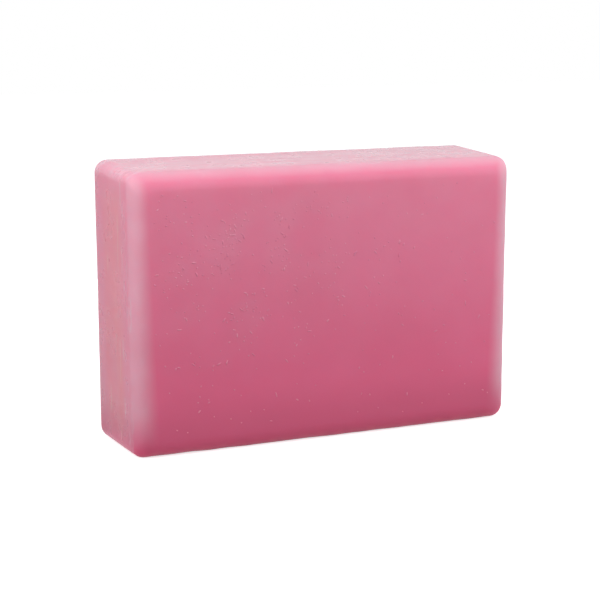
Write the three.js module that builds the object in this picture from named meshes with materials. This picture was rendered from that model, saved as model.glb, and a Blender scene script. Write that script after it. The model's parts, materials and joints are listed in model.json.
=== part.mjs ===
// A bar of cast glycerine soap, standing on one of its long narrow sides.
//
// The soap was poured as one piece into an open rectangular cavity. The face that lay on the
// cavity's floor is the front of the bar, and the face that was open to the air is its back.
// The four sides draw in a little from the back to the front, so that the bar lets go of the
// mould. A bar that rests flat on one of those sides therefore leans forward by that draft.

import * as THREE from "three";
import { mergeVertices } from "three/addons/utils/BufferGeometryUtils.js";

// Driving dimensions, in millimetres.
const BAR_LENGTH = 80; // end to end at the poured face, before its rim is rounded
const BAR_WIDTH = 54.8; // side to side at the poured face, before its rim is rounded
const BAR_THICKNESS = 22.5; // from the poured face to the cast face
const SIDE_DRAFT = 0.8; // how far each side draws in over the whole thickness
const CORNER_RADIUS = 2.4; // the four corners of the outline
const CAST_FILLET = 3.5; // the round from each side into the cast face
const RIM_ROUND = 1.2; // the trimmed round from each side into the poured face

// How many flats stand in for each quarter of a round.
const CORNER_STEPS = 8;
const FILLET_STEPS = 9;
const RIM_STEPS = 5;

// What the soap looks like.
const SOAP_COLOUR = 0xcb7189;
const SOAP_ROUGHNESS = 0.42;

// The corner centres must stay inside the smallest section, which is the cast face.
const smallestHalfWidth = BAR_WIDTH / 2 - SIDE_DRAFT - CAST_FILLET;
const cornerRadius = Math.min(CORNER_RADIUS, smallestHalfWidth);

// A rectangle with round corners, centred on the origin, as a closed outline.
function roundedRectangle(width, height, radius) {
  const right = width / 2;
  const top = height / 2;
  const quarter = Math.PI / 2;
  const outline = new THREE.Shape();
  outline.absarc(right - radius, top - radius, radius, 0, quarter);
  outline.absarc(radius - right, top - radius, radius, quarter, 2 * quarter);
  outline.absarc(radius - right, radius - top, radius, 2 * quarter, 3 * quarter);
  outline.absarc(right - radius, radius - top, radius, 3 * quarter, 4 * quarter);
  outline.closePath();
  return outline;
}

// The outline that the bar has at one depth, drawn in from the poured face's full size.
function sectionPoints(depth, roundInset) {
  const inset = roundInset + (SIDE_DRAFT * depth) / BAR_THICKNESS;
  const outline = roundedRectangle(BAR_LENGTH - 2 * inset, BAR_WIDTH - 2 * inset, cornerRadius);
  const points = outline.getPoints(CORNER_STEPS / 2); // an arc gets two steps for each one asked
  points.pop(); // the closing point repeats the first
  return points.map((p) => new THREE.Vector3(p.x, BAR_THICKNESS / 2 - depth, p.y));
}

// The sections from the poured face to the cast face, dense only where the sides curve.
function barSections() {
  const sections = [];
  for (let step = 0; step <= RIM_STEPS; step += 1) {
    const turn = ((step / RIM_STEPS) * Math.PI) / 2;
    sections.push(sectionPoints(RIM_ROUND * (1 - Math.cos(turn)), RIM_ROUND * (1 - Math.sin(turn))));
  }
  for (let step = FILLET_STEPS; step >= 0; step -= 1) {
    const turn = ((step / FILLET_STEPS) * Math.PI) / 2;
    const depth = BAR_THICKNESS - CAST_FILLET * (1 - Math.cos(turn));
    sections.push(sectionPoints(depth, CAST_FILLET * (1 - Math.sin(turn))));
  }
  return sections;
}

// Joins each section to the next with a band of quads, and closes both ends flat.
function loft(sections) {
  const around = sections[0].length;
  const triangles = [];
  const addTriangle = (a, b, c) => triangles.push(...a.toArray(), ...b.toArray(), ...c.toArray());
  const addCap = (section, facesBack) => {
    const middle = new THREE.Vector3(0, section[0].y, 0);
    section.forEach((point, i) => {
      const next = section[(i + 1) % around];
      if (facesBack) addTriangle(middle, next, point);
      else addTriangle(middle, point, next);
    });
  };
  for (let row = 1; row < sections.length; row += 1) {
    for (let i = 0; i < around; i += 1) {
      const j = (i + 1) % around;
      addTriangle(sections[row - 1][i], sections[row - 1][j], sections[row][j]);
      addTriangle(sections[row - 1][i], sections[row][j], sections[row][i]);
    }
  }
  addCap(sections[0], true);
  addCap(sections[sections.length - 1], false);
  const geometry = new THREE.BufferGeometry();
  geometry.setAttribute("position", new THREE.Float32BufferAttribute(triangles, 3));
  const merged = mergeVertices(geometry, 1e-4);
  merged.computeVertexNormals();
  return merged;
}

// The soap itself, with its thickness along Y and its poured face towards +Y.
function makeSoapBar() {
  const material = new THREE.MeshStandardMaterial({
    color: SOAP_COLOUR,
    roughness: SOAP_ROUGHNESS,
    metalness: 0,
  });
  const bar = new THREE.Mesh(loft(barSections()), material);
  bar.name = "soap_bar";
  return bar;
}

// Tips the bar onto its lower side and puts the origin on the surface under its middle.
function standOnSide(bar) {
  const stance = new THREE.Group();
  stance.add(bar);
  bar.rotation.x = Math.atan(SIDE_DRAFT / BAR_THICKNESS);
  const extent = new THREE.Box3().setFromObject(stance, true);
  const middle = extent.getCenter(new THREE.Vector3());
  bar.position.set(0, -middle.y, -extent.min.z);
  return stance;
}

const part = new THREE.Group();
part.name = "cast_soap_bar";
part.add(standOnSide(makeSoapBar()));

export default part;
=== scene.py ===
import json
import math

import bpy
import numpy as np
from mathutils import Matrix, Vector


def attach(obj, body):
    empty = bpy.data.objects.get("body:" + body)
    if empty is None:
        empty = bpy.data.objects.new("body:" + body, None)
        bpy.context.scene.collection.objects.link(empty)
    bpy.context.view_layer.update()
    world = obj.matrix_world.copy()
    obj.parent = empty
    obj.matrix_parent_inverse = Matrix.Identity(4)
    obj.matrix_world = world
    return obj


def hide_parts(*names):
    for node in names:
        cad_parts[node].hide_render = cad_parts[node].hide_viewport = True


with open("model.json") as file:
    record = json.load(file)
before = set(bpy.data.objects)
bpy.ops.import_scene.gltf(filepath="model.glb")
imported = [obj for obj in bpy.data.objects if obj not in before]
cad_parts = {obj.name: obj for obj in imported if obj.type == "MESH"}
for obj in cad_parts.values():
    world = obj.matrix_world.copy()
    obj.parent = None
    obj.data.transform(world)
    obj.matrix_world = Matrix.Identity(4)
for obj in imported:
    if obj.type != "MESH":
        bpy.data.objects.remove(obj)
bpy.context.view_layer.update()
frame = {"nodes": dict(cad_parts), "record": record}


# ---------------------------------------------------------------------------------------------
# The bar. One block of pink glycerine soap, melted, dyed and poured into an open rectangular
# mould. Its front lay on the mould's floor and its back was open to the air. The sides draw in
# towards the front for release, so on its long side the bar stands leaning forward a little.
# ---------------------------------------------------------------------------------------------

side_draft = 0.0008  # how far each side draws in over the whole thickness
corner_radius = 0.0024
cast_fillet = 0.0035  # the mould's round between wall and floor
rim_round = 0.0012  # the trimmed edge of the poured face
step_along = 0.0005  # mesh spacing over the two large faces
step_through = 0.0002  # mesh spacing through the thickness, fine enough for the wall's lines

poured_face = next(m for m in frame["record"]["mounts"] if m["name"] == "poured_face")
poured_centre = Vector(poured_face["pos_m"])
lean = math.atan2(poured_face["axis"][2], poured_face["axis"][1])

# The bar's own axes: x along it, y from the cast face up to the poured face at 0, z across it.
bar_to_frame = Matrix.Translation(poured_centre) @ Matrix.Rotation(lean, 4, "X")
frame_to_bar = bar_to_frame.inverted()


def carried(places, turn):
    turn = np.array(turn, float)
    return places @ turn[:3, :3].T + turn[:3, 3]


def vertex_values(mesh, what):
    values = np.empty(len(mesh.vertices) * 3, np.float32)
    mesh.vertices.foreach_get(what, values)
    return values.reshape(-1, 3).astype(float)


solid_places = carried(vertex_values(frame["nodes"]["soap_bar"].data, "co"), frame_to_bar)
thickness = -solid_places[:, 1].min()
draft_at_rim = side_draft * rim_round / thickness
half_length = np.abs(solid_places[:, 0]).max() + draft_at_rim
half_width = np.abs(solid_places[:, 2]).max() + draft_at_rim


def shell_of_lattice(counts):
    """The outer points of a box-shaped lattice, as whole steps along x, y and z, and its quads."""
    numbers = -np.ones([n + 1 for n in counts], int)
    outer = np.zeros(numbers.shape, bool)
    for axis in range(3):
        for end in (0, -1):
            outer[tuple(end if a == axis else slice(None) for a in range(3))] = True
    numbers[outer] = np.arange(outer.sum())
    quads = []
    for axis in range(3):
        for end in (0, -1):
            side = numbers.take(end, axis=axis)
            corners = [side[:-1, :-1], side[1:, :-1], side[1:, 1:], side[:-1, 1:]]
            if (end == 0) != (axis == 1):
                corners.reverse()
            quads.append(np.stack(corners, -1).reshape(-1, 4))
    return np.argwhere(outer), np.concatenate(quads)


def eased(across, along, radius):
    """Bends the square corner where across and along are both 0 into a round of that radius."""
    centre_across = np.maximum(across, radius)
    centre_along = np.maximum(along, radius)
    reach = np.maximum(np.hypot(across - centre_across, along - centre_along), 1e-12)
    across = centre_across + radius * (across - centre_across) / reach
    along = centre_along + radius * (along - centre_along) / reach
    return across, along


def bar_skin(share):
    """Lays the lattice's outer points on the bar: rounded at the rim, the floor and the corners."""
    x = (2 * share[:, 0] - 1) * half_length
    z = (2 * share[:, 2] - 1) * half_width
    height = share[:, 1] * thickness
    inset = np.minimum(half_length - np.abs(x), half_width - np.abs(z))
    near_floor = height < thickness / 2
    new_inset, gap = eased(
        inset,
        np.where(near_floor, height, thickness - height),
        np.where(near_floor, cast_fillet, rim_round),
    )
    new_height = np.where(near_floor, gap, thickness - gap)

    # Each section shrinks as a whole, so a point keeps its share of the way round it.
    far_x, far_z = half_length - new_inset, half_width - new_inset
    x = x * far_x / np.maximum(half_length - inset, 1e-9)
    z = z * far_z / np.maximum(half_width - inset, 1e-9)
    past_fillet = np.maximum(new_inset - cast_fillet, 0) / (half_width - cast_fillet)
    gap_x, gap_z = eased(far_x - np.abs(x), far_z - np.abs(z), corner_radius * (1 - past_fillet) + 1e-9)
    x = np.sign(x) * (far_x - gap_x)
    z = np.sign(z) * (far_z - gap_z)
    drawn_in = side_draft * (thickness - new_height) / thickness
    x *= 1 - drawn_in / half_length
    z *= 1 - drawn_in / half_width
    return np.stack([x, new_height - thickness, z], -1)


def way_round(share):
    """How far round the walls a point lies, from the middle of the lower wall."""
    x = (2 * share[:, 0] - 1) * half_length
    z = (2 * share[:, 2] - 1) * half_width
    outward = np.maximum(np.maximum(np.abs(x) / half_length, np.abs(z) / half_width), 1e-9)
    x, z = x / outward, z / outward
    quarter = half_length + half_width
    on_right = half_length + half_width + z
    on_top = 2 * quarter - x
    on_left = 3 * quarter - z
    below = np.where(x >= 0, x, 4 * quarter + x)
    on_side = np.abs(x) / half_length >= np.abs(z) / half_width
    return np.where(on_side, np.where(x > 0, on_right, on_left), np.where(z > 0, on_top, below))


def waves(places, length, seed, count=12):
    """Smooth seeded noise of about that wavelength, mostly between -1 and 1."""
    draw = np.random.RandomState(seed)
    places = places.reshape(len(places), -1)
    total = np.zeros(len(places))
    for _ in range(count):
        heading = draw.normal(size=places.shape[1])
        heading /= np.linalg.norm(heading)
        pitch = length * draw.uniform(0.7, 1.5)
        total += np.cos(2 * math.pi * (places @ heading / pitch + draw.uniform()))
    return total / math.sqrt(2 * count)


def smooth_between(low, high, value):
    t = np.clip((value - low) / (high - low), 0, 1)
    return t * t * (3 - 2 * t)


def mesh_from(name, places, faces):
    mesh = bpy.data.meshes.new(name)
    mesh.from_pydata(places.tolist(), [], faces.tolist())
    mesh.validate()
    mesh.polygons.foreach_set("use_smooth", [True] * len(mesh.polygons))
    mesh.update()
    piece = bpy.data.objects.new(name, mesh)
    bpy.context.scene.collection.objects.link(piece)
    return piece


def keep_values(mesh, name, values):
    stored = mesh.attributes.new(name, "FLOAT", "POINT")
    stored.data.foreach_set("value", values.astype(np.float32))


counts = [
    round(2 * half_length / step_along),
    round(thickness / step_through),
    round(2 * half_width / step_along),
]
lattice_steps, lattice_quads = shell_of_lattice(counts)
lattice_share = lattice_steps / np.array(counts)
smooth_places = bar_skin(lattice_share)
bar = mesh_from("soap_bar_cast", smooth_places, lattice_quads)
outward = vertex_values(bar.data, "normal")

height = smooth_places[:, 1] + thickness
run = way_round(lattice_share)
facing = outward[:, 1]  # -1 on the cast face, 0 on the walls, 1 on the poured face
on_wall = 1 - smooth_between(0.35, 0.75, np.abs(facing))
from_end = half_length - np.abs(smooth_places[:, 0])
from_long_side = half_width - np.abs(smooth_places[:, 2])
from_side = np.minimum(from_end, from_long_side)
# On the right end the rounds' mask reaches further, widening the painted highlight there.
wider_on_right = np.where(smooth_places[:, 0] > 0, 0.0005, 0)
near_end = 1 - smooth_between(0.0015, 0.0058, from_end - wider_on_right)
near_long_side = 1 - smooth_between(0.0006, 0.0040, from_long_side)
on_fillet = np.maximum(near_end, near_long_side) * (1 - smooth_between(0.0022, 0.0048, height))
on_poured = smooth_between(0.6, 0.98, facing)
on_cast = smooth_between(0.9, 0.999, -facing)

# Thin broken lines round the walls, like those that a pour leaves: height above the cast face,
# half-width, how far the line stands out, the length of its stretches, and how little of it shows.
pour_lines = (
    (0.0084, 0.00022, 0.00004, 0.016, -0.10),
    (0.0063, 0.00026, 0.00003, 0.012, 0.30),
    (0.0100, 0.00018, 0.00002, 0.010, 0.60),
    (0.0052, 0.00020, 0.00003, 0.009, 0.30),
    (0.0146, 0.00030, 0.00002, 0.020, 0.60),
)
line_relief = np.zeros(len(height))
# Each line's ridge also gets a pale mark, a painted highlight.
line_highlight = np.zeros(len(height))
for number, (level, half_line, stands_out, stretch, gaps) in enumerate(pour_lines):
    wander = level + 0.00022 * waves(run, 0.03, 40 + number) + 0.00008 * waves(run, 0.005, 50 + number)
    across = np.exp(-(((height - wander) / half_line) ** 2))
    shows = smooth_between(gaps, gaps + 0.3, waves(run, stretch, 60 + number))
    line_relief += stands_out * across * shows
    line_highlight += across * shows

# Small long dents, like trapped air, where the walls meet the rounds of the cast face.
pocket_count = 80
pocket_draw = np.random.RandomState(7)
all_round = 4 * (half_length + half_width)
pocket_relief = np.zeros(len(height))
pocket_mark = np.zeros(len(height))
for _ in range(pocket_count):
    centre = pocket_draw.uniform(0, all_round)
    level = cast_fillet + pocket_draw.uniform(-0.0008, 0.0012)
    half_long = pocket_draw.uniform(0.0005, 0.0021)
    half_wide = pocket_draw.uniform(0.00028, 0.0005)
    depth = pocket_draw.uniform(0.00005, 0.00012)
    away = np.abs((run - centre + all_round / 2) % all_round - all_round / 2)
    reach = np.hypot(away / half_long, (height - level) / half_wide)
    pocket_relief -= depth * np.exp(-(reach**4))
    pocket_mark += np.exp(-(((reach - 1.0) / 0.35) ** 2))

# One small nick in the upper round of the cast face, left of the middle.
nick_from_middle = 0.026
nick_run = 2 * (half_length + half_width) + nick_from_middle
nick_reach = np.hypot((run - nick_run) / 0.0004, (from_long_side - 0.0011) / 0.0006)
pocket_relief -= 0.00012 * np.exp(-(nick_reach**4)) * (smooth_places[:, 2] > 0)

# The poured face sinks a little in the middle and rises at its edge, as poured soap usually does.
meniscus = 0.00028 * np.exp(-from_side / 0.0016) - 0.00016 * smooth_between(0.0, 0.02, from_side)
swell = 0.00003 * waves(smooth_places, 0.017, 3) + 0.00001 * waves(smooth_places, 0.005, 4)
relief = swell + on_wall * line_relief + pocket_relief * (1 - on_cast) + on_poured * meniscus
relief += on_poured * 0.00003 * waves(smooth_places, 0.008, 5)
relief += on_fillet * 0.00005 * waves(smooth_places, 0.006, 6)

places = carried(smooth_places + outward * relief[:, None], bar_to_frame)
places[:, 2] = np.maximum(places[:, 2], 0)
bar.data.vertices.foreach_set("co", places.astype(np.float32).ravel())
bar.data.update()
keep_values(bar.data, "wall", on_wall)
keep_values(bar.data, "fillet", on_fillet)
keep_values(bar.data, "pour_line_highlight", np.clip(line_highlight * on_wall, 0, 1))
keep_values(bar.data, "pocket_rim", np.clip(pocket_mark * (1 - on_cast), 0, 1))

# Froth lies in one drift across the cast face, left of the middle and above it.
drift_centre = np.array([-0.46 * half_length, 0, 0.35 * half_width])
from_drift = (smooth_places - drift_centre) / np.array([0.55 * half_length, 1, 0.55 * half_width])
in_drift = np.exp(-(from_drift[:, 0] ** 2) - from_drift[:, 2] ** 2)
in_drift *= smooth_between(-0.6, 0.8, waves(smooth_places, 0.009, 21))
keep_values(bar.data, "drift", in_drift * on_cast)


def linked(tree, kind, **inputs):
    """Adds a node; an input given a socket is linked to it, and any other input is set."""
    node = tree.nodes.new(kind)
    for name, value in inputs.items():
        name = name.replace("_", " ")
        socket = node.inputs[int(name[3:]) if name.startswith("in ") else name]
        if isinstance(value, bpy.types.NodeSocket):
            tree.links.new(value, socket)
        else:
            socket.default_value = value
    return node


def arithmetic(tree, operation, first, second, third=0.0):
    node = linked(tree, "ShaderNodeMath", in_0=first, in_1=second, in_2=third)
    node.operation = operation
    return node.outputs[0]


def stepped(tree, value, low, high, to_low=0.0, to_high=1.0):
    node = tree.nodes.new("ShaderNodeMapRange")
    node.interpolation_type = "SMOOTHSTEP"
    tree.links.new(value, node.inputs["Value"])
    for name, end in (("From Min", low), ("From Max", high), ("To Min", to_low), ("To Max", to_high)):
        if isinstance(end, bpy.types.NodeSocket):
            tree.links.new(end, node.inputs[name])
        else:
            node.inputs[name].default_value = end
    return node.outputs["Result"]


def bar_coordinates(tree):
    """The place on the bar in its own axes, in metres, whichever piece the material is on."""
    turn = tree.nodes.new("ShaderNodeMapping")
    turn.inputs["Rotation"].default_value = (-lean, 0, 0)
    turn.inputs["Location"].default_value = frame_to_bar.translation
    tree.links.new(tree.nodes.new("ShaderNodeTexCoord").outputs["Object"], turn.inputs["Vector"])
    return turn.outputs["Vector"]


def mottle_group():
    """Soft patches of unevenness: Place in metres, Pitch their size, Stretch under 1 draws them out."""
    group = bpy.data.node_groups.new("mottle", "ShaderNodeTree")
    for name, kind in (
        ("Place", "NodeSocketVector"),
        ("Stretch", "NodeSocketVector"),
        ("Pitch", "NodeSocketFloat"),
        ("Detail", "NodeSocketFloat"),
        ("Least", "NodeSocketFloat"),
        ("Most", "NodeSocketFloat"),
    ):
        group.interface.new_socket(name, in_out="INPUT", socket_type=kind)
    group.interface.new_socket("Amount", in_out="OUTPUT", socket_type="NodeSocketFloat")
    given = group.nodes.new("NodeGroupInput").outputs
    drawn_out = linked(group, "ShaderNodeVectorMath", in_0=given["Place"], in_1=given["Stretch"])
    drawn_out.operation = "MULTIPLY"
    fineness = arithmetic(group, "DIVIDE", 1.0, given["Pitch"])
    patches = linked(
        group,
        "ShaderNodeTexNoise",
        Vector=drawn_out.outputs["Vector"],
        Scale=fineness,
        Detail=given["Detail"],
    )
    amount = stepped(group, patches.outputs["Fac"], 0.3, 0.7, given["Least"], given["Most"])
    group.links.new(amount, group.nodes.new("NodeGroupOutput").inputs["Amount"])
    return group


mottle_nodes = mottle_group()


def mottle(tree, place, pitch, least=0.0, most=1.0, detail=2.0, stretch=(1, 1, 1)):
    node = tree.nodes.new("ShaderNodeGroup")
    node.node_tree = mottle_nodes
    tree.links.new(place, node.inputs["Place"])
    for name, value in (
        ("Stretch", stretch),
        ("Pitch", pitch),
        ("Detail", detail),
        ("Least", least),
        ("Most", most),
    ):
        node.inputs[name].default_value = value
    return node.outputs["Amount"]


def kept_value(tree, name):
    node = tree.nodes.new("ShaderNodeAttribute")
    node.attribute_name = name
    return node.outputs["Fac"]


soap = bpy.data.materials.new("cast_soap")
soap.use_nodes = True
tree = soap.node_tree
shader = tree.nodes["Principled BSDF"]
place = bar_coordinates(tree)
split = linked(tree, "ShaderNodeSeparateXYZ", Vector=place)
across, depth, up = split.outputs[0], split.outputs[1], split.outputs[2]
wall = kept_value(tree, "wall")
fillet = kept_value(tree, "fillet")

# A pale haze is mixed into the dye: a little on the cast face, more on the walls and rounds, most
# on top, and hardly any low down. Much of it is painted light in place of what the skin would reflect:
# the top and upper cast face painted lighter, and painted highlights on the rounds and the pour lines.
streaks = (0.05, 1.0, 0.05)
haze_thins_low_down = stepped(tree, up, -half_width + 0.001, -half_width + 0.011)
on_top = stepped(tree, up, half_width - 0.0035, half_width - 0.0008)
# Painted light: the cast face's haze grows with height, so its upper part is painted lighter as if lit
# from above. The drift's extra haze is froth.
height_share = stepped(tree, up, -half_width, half_width)
front_haze_and_light = arithmetic(tree, "MULTIPLY", height_share, mottle(tree, place, 0.006, 0.13, 0.16, 4.0))
front_haze_and_light = arithmetic(tree, "MULTIPLY_ADD", kept_value(tree, "drift"), 0.04, front_haze_and_light)
wall_haze_and_light = mottle(tree, place, 0.0035, 0.15, 0.19, 1.0, streaks)
# Painted light: the walls grow paler towards the poured face's rim, in place of light scattered through
# the edge.
wall_haze_and_light = arithmetic(tree, "MULTIPLY_ADD", stepped(tree, depth, -0.0035, -0.0005), 0.09, wall_haze_and_light)
# Painted light: the top is painted paler, in place of the light and sheen it takes from above. The streaks
# in it are the soap's own.
top_streaks_and_light = arithmetic(tree, "MULTIPLY", on_top, mottle(tree, place, 0.0024, 0.12, 0.23, 1.0, streaks))
wall_haze_and_light = arithmetic(tree, "MULTIPLY", wall, arithmetic(tree, "ADD", wall_haze_and_light, top_streaks_and_light))
# The pale band on the cast face's rounds is partly haze and partly a painted highlight. It is a little
# stronger on the right, where it stands in for the rim's reflection.
fillet_haze_and_highlight = arithmetic(tree, "MULTIPLY", fillet, mottle(tree, place, 0.0040, 0.94, 1.06))
highlight_stronger_to_right = stepped(tree, across, -0.03, 0.03, 0.36, 0.38)
fillet_haze_and_highlight = arithmetic(tree, "MULTIPLY", fillet_haze_and_highlight, highlight_stronger_to_right)
haze_and_light = arithmetic(tree, "MAXIMUM", wall_haze_and_light, fillet_haze_and_highlight)
# Painted shade: the haze fades out near the foot, so the lower walls and rounds are painted darker.
haze_and_light = arithmetic(tree, "MULTIPLY", haze_and_light, haze_thins_low_down)
haze_and_light = arithmetic(tree, "MAXIMUM", haze_and_light, front_haze_and_light)
# Painted highlight: a pale line along each pour line's ridge.
haze_and_light = arithmetic(tree, "MULTIPLY_ADD", kept_value(tree, "pour_line_highlight"), 0.18, haze_and_light)
haze_and_light = arithmetic(tree, "MULTIPLY_ADD", kept_value(tree, "pocket_rim"), 0.10, haze_and_light)

# Down the middle of the end walls the haze is yellower.
yellower = stepped(tree, depth, -0.0175, -0.0140)
yellower = arithmetic(tree, "MULTIPLY", yellower, stepped(tree, depth, -0.0070, -0.0040, 1, 0))
below_top = stepped(tree, up, half_width - 0.008, half_width - 0.002, 1, 0)
yellower = arithmetic(tree, "MULTIPLY", yellower, below_top)
yellower = arithmetic(tree, "MULTIPLY", yellower, mottle(tree, place, 0.005, 0.55, 1.0, 1.0, (1, 1, 0.2)))
yellower = arithmetic(tree, "MULTIPLY", yellower, wall)


def blended(tree, share, first, second):
    """Mixes two colours; a colour mix has its inputs at 6 and 7, and its result at 2."""
    node = linked(tree, "ShaderNodeMix", Factor=share)
    node.data_type = "RGBA"
    for place_in_node, colour in ((6, first), (7, second)):
        if isinstance(colour, bpy.types.NodeSocket):
            tree.links.new(colour, node.inputs[place_in_node])
        else:
            node.inputs[place_in_node].default_value = (*colour, 1)
    return node.outputs[2]


dye = blended(tree, mottle(tree, place, 0.018), (0.92, 0.166, 0.320), (0.97, 0.183, 0.346))
# The dye is deeper along the foot, in place of the shade there.
deeper_low_down = stepped(tree, up, -half_width + 0.001, -half_width + 0.015, 1, 0)
dye = blended(tree, deeper_low_down, dye, (0.70, 0.132, 0.250))
haze_and_light_colour = blended(tree, yellower, (0.81, 0.85, 0.90), (0.97, 0.84, 0.56))
tree.links.new(blended(tree, haze_and_light, dye, haze_and_light_colour), shader.inputs["Base Color"])

satin = mottle(tree, place, 0.004, 0.31, 0.39, 1.0)
satin = arithmetic(tree, "MULTIPLY_ADD", wall, -0.05, satin)
satin = arithmetic(tree, "MULTIPLY_ADD", fillet, 0.12, satin)
tree.links.new(satin, shader.inputs["Roughness"])
ripple = mottle(tree, place, 0.0022, 0.0, 1.0, 1.0)
bump = linked(tree, "ShaderNodeBump", Strength=0.2, Distance=0.00003, Height=ripple)
tree.links.new(bump.outputs["Normal"], shader.inputs["Normal"])
shader.inputs["IOR"].default_value = 1.47
shader.inputs["Subsurface Weight"].default_value = 0.55
shader.inputs["Subsurface Radius"].default_value = (1.0, 0.5, 0.6)
shader.inputs["Subsurface Scale"].default_value = 0.003
bar.data.materials.append(soap)
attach(bar, "root")
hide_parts("soap_bar")


# ---------------------------------------------------------------------------------------------
# The air. Specks and short threads of froth in the soap's own pink, a little paler: small flat
# domes scattered in one drift across the cast face, and a few near the poured face's edge.
# ---------------------------------------------------------------------------------------------


def froth_tree():
    """Scatters small flat domes over a surface, thicker where the stored value is higher."""
    tree = bpy.data.node_groups.new("froth", "GeometryNodeTree")
    sockets = {}
    for name, kind in (
        ("Surface", "NodeSocketGeometry"),
        ("Density", "NodeSocketFloat"),
        ("Smallest", "NodeSocketFloat"),
        ("Longest", "NodeSocketFloat"),
        ("Width", "NodeSocketFloat"),
        ("Seed", "NodeSocketInt"),
        ("Froth", "NodeSocketMaterial"),
    ):
        sockets[name] = tree.interface.new_socket(name, in_out="INPUT", socket_type=kind).identifier
    tree.interface.new_socket("Surface", in_out="OUTPUT", socket_type="NodeSocketGeometry")
    given = tree.nodes.new("NodeGroupInput").outputs
    crowd = tree.nodes.new("GeometryNodeInputNamedAttribute")
    crowd.data_type = "FLOAT"
    crowd.inputs["Name"].default_value = "crowd"
    thick = arithmetic(tree, "MULTIPLY", crowd.outputs["Attribute"], given["Density"])
    spots = linked(
        tree,
        "GeometryNodeDistributePointsOnFaces",
        Mesh=given["Surface"],
        Density=thick,
        Seed=given["Seed"],
    )
    draw = tree.nodes.new("FunctionNodeRandomValue")
    draw.data_type = "FLOAT"
    tree.links.new(given["Seed"], draw.inputs["Seed"])
    rare = arithmetic(tree, "POWER", draw.outputs[1], 7.0)
    longer = arithmetic(tree, "SUBTRACT", given["Longest"], given["Smallest"])
    length = arithmetic(tree, "MULTIPLY_ADD", rare, longer, given["Smallest"])
    spin = tree.nodes.new("FunctionNodeRandomValue")
    spin.data_type = "FLOAT"
    spin.inputs[3].default_value = 2 * math.pi
    spin.inputs["Seed"].default_value = 11
    turned = linked(tree, "ShaderNodeCombineXYZ", Z=spin.outputs[1])
    tilt = linked(tree, "FunctionNodeRotateRotation", Rotation=spots.outputs["Rotation"])
    tilt.rotation_space = "LOCAL"
    euler = linked(tree, "FunctionNodeEulerToRotation", Euler=turned.outputs[0])
    tree.links.new(euler.outputs[0], tilt.inputs["Rotate By"])
    dome = linked(tree, "GeometryNodeMeshUVSphere", Segments=8, Rings=5, Radius=0.5)
    size = linked(tree, "ShaderNodeCombineXYZ", X=length, Y=given["Width"])
    tree.links.new(arithmetic(tree, "MULTIPLY", given["Width"], 0.45), size.inputs["Z"])
    placed = linked(
        tree,
        "GeometryNodeInstanceOnPoints",
        Points=spots.outputs["Points"],
        Instance=dome.outputs["Mesh"],
        Rotation=tilt.outputs[0],
        Scale=size.outputs[0],
    )
    real = linked(tree, "GeometryNodeRealizeInstances", Geometry=placed.outputs[0])
    smooth = linked(tree, "GeometryNodeSetShadeSmooth", Geometry=real.outputs[0])
    finished = linked(tree, "GeometryNodeSetMaterial", Geometry=smooth.outputs[0], Material=given["Froth"])
    tree.links.new(finished.outputs[0], tree.nodes.new("NodeGroupOutput").inputs[0])
    return tree, sockets


froth = bpy.data.materials.new("soap_froth")
froth.use_nodes = True
tree = froth.node_tree
shader = tree.nodes["Principled BSDF"]
pale_patches = mottle(tree, bar_coordinates(tree), 0.003)
froth_colour = blended(tree, pale_patches, (0.86, 0.24, 0.39), (0.95, 0.36, 0.50))
tree.links.new(froth_colour, shader.inputs["Base Color"])
shader.inputs["Roughness"].default_value = 0.35

scatter_tree, scatter_inputs = froth_tree()


def frothed(name, on_face, crowd, density, smallest, longest, width, seed):
    """Scatters froth over the bar's quads where on_face holds, as a plain mesh of its own."""
    kept = lattice_quads[on_face[lattice_quads].all(1)]
    used, kept = np.unique(kept, return_inverse=True)
    carrier = mesh_from(name, places[used], kept.reshape(-1, 4))
    keep_values(carrier.data, "crowd", crowd[used])
    scatter = carrier.modifiers.new("froth", "NODES")
    scatter.node_group = scatter_tree
    for label, value in (
        ("Density", density),
        ("Smallest", smallest),
        ("Longest", longest),
        ("Width", width),
        ("Seed", seed),
        ("Froth", froth),
    ):
        scatter[scatter_inputs[label]] = value
    made = carrier.evaluated_get(bpy.context.evaluated_depsgraph_get())
    domes = bpy.data.meshes.new_from_object(made)
    domes.name = name
    carrier.modifiers.remove(scatter)
    carrier.data = domes
    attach(carrier, "root")
    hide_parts("soap_bar")


cast_crowd = 0.05 + 0.95 * in_drift
frothed("froth_on_cast_face", facing < -0.9999, cast_crowd, 900000, 0.00030, 0.0012, 0.00028, 4)
rim_crowd = np.exp(-(((from_side - 0.0028) / 0.0018) ** 2))
rim_crowd *= smooth_between(0.2, 1.0, waves(smooth_places, 0.016, 22))
frothed("froth_on_poured_face", facing > 0.99, rim_crowd, 260000, 0.0002, 0.0007, 0.00028, 9)


# ---------------------------------------------------------------------------------------------
# The studio. A white floor that runs into white surroundings, soft lights overhead, left, right
# and behind, and a long lens to the left of the bar and above it. The floor and surroundings give
# camera, mirror and diffuse rays different light, and the floor near the bar bounces pink.
# ---------------------------------------------------------------------------------------------

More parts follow.
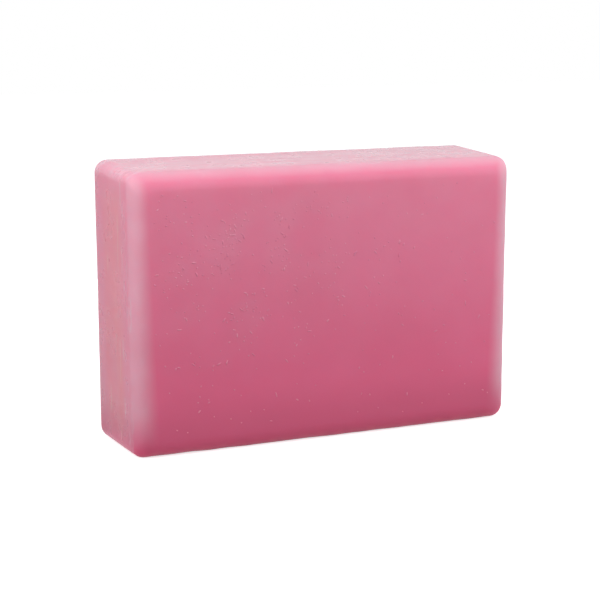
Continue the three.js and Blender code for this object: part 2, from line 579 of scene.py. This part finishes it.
floor_half = 3.0
floor = mesh_from(
    "floor",
    np.array([[-1, -1, 0], [1, -1, 0], [1, 1, 0], [-1, 1, 0]]) * floor_half,
    np.array([[0, 1, 2, 3]]),
)
floor_paint = bpy.data.materials.new("studio_floor")
floor_paint.use_nodes = True
floor_paint.cycles.emission_sampling = "NONE"
tree = floor_paint.node_tree
shader = tree.nodes["Principled BSDF"]
seen_by = tree.nodes.new("ShaderNodeLightPath")
floor_place = tree.nodes.new("ShaderNodeTexCoord").outputs["Object"]
beside = linked(tree, "ShaderNodeVectorMath", in_0=floor_place)
beside.operation = "ABSOLUTE"
foot = (half_length, thickness / 2, 0)
past_foot = linked(tree, "ShaderNodeVectorMath", in_0=beside.outputs["Vector"], in_1=foot)
past_foot.operation = "SUBTRACT"
past_foot = linked(tree, "ShaderNodeVectorMath", in_0=past_foot.outputs["Vector"])
past_foot.operation = "MAXIMUM"
from_bar = linked(tree, "ShaderNodeVectorMath", in_0=past_foot.outputs["Vector"])
from_bar.operation = "LENGTH"
from_bar = from_bar.outputs["Value"]
white = blended(tree, stepped(tree, from_bar, 0.0, 0.20), (0.70, 0.70, 0.70), (0.95, 0.95, 0.95))
seen_white = blended(tree, seen_by.outputs["Is Camera Ray"], (0, 0, 0), white)
glow = blended(tree, seen_by.outputs["Is Glossy Ray"], seen_white, (0.65, 0.65, 0.65))
tree.links.new(glow, shader.inputs["Emission Color"])
shader.inputs["Emission Strength"].default_value = 1
bounced = blended(tree, stepped(tree, from_bar, 0.0, 0.006), (0.60, 0.22, 0.36), (0.10, 0.085, 0.090))
paper = blended(tree, seen_by.outputs["Is Camera Ray"], bounced, (0.9, 0.9, 0.9))
tree.links.new(paper, shader.inputs["Base Color"])
shader.inputs["Roughness"].default_value = 0.9
shader.inputs["Specular IOR Level"].default_value = 0
floor.data.materials.append(floor_paint)

surroundings = bpy.data.worlds.new("surroundings")
surroundings.use_nodes = True
surroundings.cycles.sampling_method = "NONE"
bpy.context.scene.world = surroundings
world_nodes = surroundings.node_tree.nodes
world_links = surroundings.node_tree.links
backdrop = world_nodes["Background"]
backdrop.inputs["Color"].default_value = (1, 1, 1, 1)
ray_kind = world_nodes.new("ShaderNodeLightPath")
dim_for_diffuse = world_nodes.new("ShaderNodeMapRange")
dim_for_diffuse.inputs["To Min"].default_value = 1.0
dim_for_diffuse.inputs["To Max"].default_value = 0.28
world_links.new(ray_kind.outputs["Is Diffuse Ray"], dim_for_diffuse.inputs["Value"])
world_links.new(dim_for_diffuse.outputs["Result"], backdrop.inputs["Strength"])


def soft_light(name, place, size, power, aim, mirrored=True):
    lamp = bpy.data.lights.new(name, "AREA")
    lamp.shape = "RECTANGLE"
    lamp.size, lamp.size_y = size
    lamp.energy = power
    holder = bpy.data.objects.new(name, lamp)
    holder.location = place
    holder.rotation_euler = (Vector(aim) - Vector(place)).to_track_quat("-Z", "Y").to_euler()
    holder.visible_camera = False
    holder.visible_glossy = mirrored
    bpy.context.scene.collection.objects.link(holder)


soft_light("overhead", (0, -0.072, 0.150), (0.20, 0.08), 0.066, (0, 0, half_width), False)
soft_light("left", (-0.185, -0.078, 0.12), (0.24, 0.20), 0.285, (0, 0, half_width))
soft_light("right", (0.2, -0.12, 0.09), (0.12, 0.10), 0.245, (0, 0, half_width), False)
soft_light("behind", (0.04, 0.22, 0.035), (0.24, 0.05), 0.16, (0, 0, half_width), False)

view_turn = math.radians(-23.17)
view_height = math.radians(8.81)
view_roll = math.radians(-0.89)
view_distance = 0.3012
lens_mm = 91.47
bar_middle = Vector((0, 0, half_width))
towards = -Vector(
    (
        math.sin(view_turn) * math.cos(view_height),
        -math.cos(view_turn) * math.cos(view_height),
        math.sin(view_height),
    )
)
aside = towards.cross(Vector((0, 0, 1))).normalized()
aim = bar_middle - 0.00166 * aside - 0.00144 * aside.cross(towards)
camera = bpy.data.objects.new("camera", bpy.data.cameras.new("camera"))
camera.data.lens = lens_mm
camera.data.sensor_width = 36
camera.data.clip_start = 0.01
camera.location = bar_middle - view_distance * towards
look = (aim - camera.location).to_track_quat("-Z", "Y").to_matrix().to_4x4()
camera.rotation_euler = (look @ Matrix.Rotation(view_roll, 4, "Z")).to_euler()
bpy.context.scene.collection.objects.link(camera)
bpy.context.scene.camera = camera
bpy.context.scene.view_settings.view_transform = "Standard"

bpy.context.view_layer.update()
